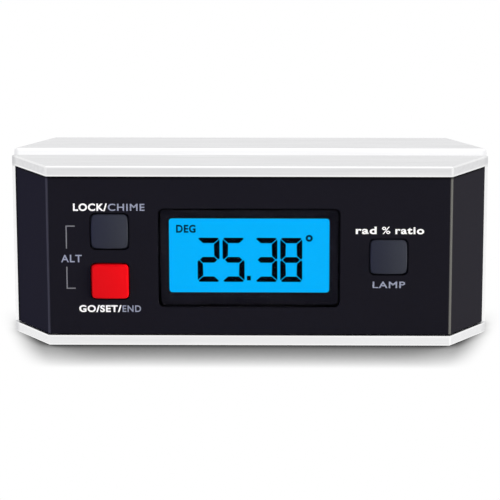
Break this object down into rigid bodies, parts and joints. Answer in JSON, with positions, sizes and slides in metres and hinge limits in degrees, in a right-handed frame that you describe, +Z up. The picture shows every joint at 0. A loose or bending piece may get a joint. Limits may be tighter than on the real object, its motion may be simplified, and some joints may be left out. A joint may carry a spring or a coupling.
{
  "type": "digital angle gauge",
  "caption": "Digital angle gauge: aluminium frame with cut corners, V-grooves and magnets, black covers, lit display, square push keys and a sliding battery door.",
  "frame": {"origin": "middle of the footprint, on the surface that the gauge stands on", "axes": "+X along the length, +Y from the display to the back, +Z up; the display faces -Y"},
  "size_m": [0.152, 0.0404, 0.0588],
  "materials": {
    "anodised_aluminium": "fine blasted, clear anodised",
    "black_abs": "fine moulded grain",
    "clear_acrylic": "polished",
    "lit_display": "even backlit blue with dark figures",
    "grey_key": "satin moulded",
    "red_key": "satin moulded",
    "white_plastic": "moulded",
    "contact_rubber": "striped silicone",
    "solder_mask": "green lacquer on glass epoxy",
    "black_epoxy": "moulded",
    "zinc_steel": "zinc plated",
    "magnet_nickel": "nickel plated",
    "battery_jacket": "plain satin jacket",
    "black_vinyl": "soft vinyl",
    "red_vinyl": "soft vinyl"
  },
  "bodies": {
    "housing": {"frame": "anodised_aluminium", "front_cover": "black_abs", "rear_cover": "black_abs", "lens": "clear_acrylic", "lcd_glass": "lit_display", "lcd_holder": "white_plastic", "light_guide": "white_plastic", "left_led": "white_plastic", "right_led": "white_plastic", "upper_contact_strip": "contact_rubber", "lower_contact_strip": "contact_rubber", "circuit_board": "solder_mask", "controller_chip": "black_epoxy", "tilt_sensor": "zinc_steel", "buzzer": "black_epoxy", "lead_socket": "white_plastic", "red_lead": "red_vinyl", "black_lead": "black_vinyl", "battery": "battery_jacket", "battery_snap": "black_vinyl", "hold_switch": "black_epoxy", "power_switch": "black_epoxy", "light_switch": "black_epoxy", "case_screw_1": "zinc_steel", "case_screw_2": "zinc_steel", "case_screw_3": "zinc_steel", "case_screw_4": "zinc_steel", "board_screw_1": "zinc_steel", "board_screw_2": "zinc_steel", "board_screw_3": "zinc_steel", "board_screw_4": "zinc_steel", "magnet_1": "magnet_nickel", "magnet_2": "magnet_nickel", "magnet_3": "magnet_nickel", "magnet_4": "magnet_nickel"},
    "hold_button": {"hold_key": "grey_key", "hold_plunger": "white_plastic"},
    "power_button": {"power_key": "red_key", "power_plunger": "white_plastic"},
    "light_button": {"light_key": "grey_key", "light_plunger": "white_plastic"},
    "door": {"battery_door": "black_abs"}
  },
  "joints": [
    {"name": "hold_press", "type": "slide", "parent": "housing", "child": "hold_button", "axis": [0, 1, 0], "range_m": [0, 0.0005], "stiffness_N_per_m": 1500, "springref_m": -0.0005},
    {"name": "power_press", "type": "slide", "parent": "housing", "child": "power_button", "axis": [0, 1, 0], "range_m": [0, 0.0005], "stiffness_N_per_m": 1500, "springref_m": -0.0005},
    {"name": "light_press", "type": "slide", "parent": "housing", "child": "light_button", "axis": [0, 1, 0], "range_m": [0, 0.0005], "stiffness_N_per_m": 1500, "springref_m": -0.0005},
    {"name": "door_slide", "type": "slide", "parent": "housing", "child": "door", "axis": [1, 0, 0], "range_m": [0, 0.06]}
  ]
}
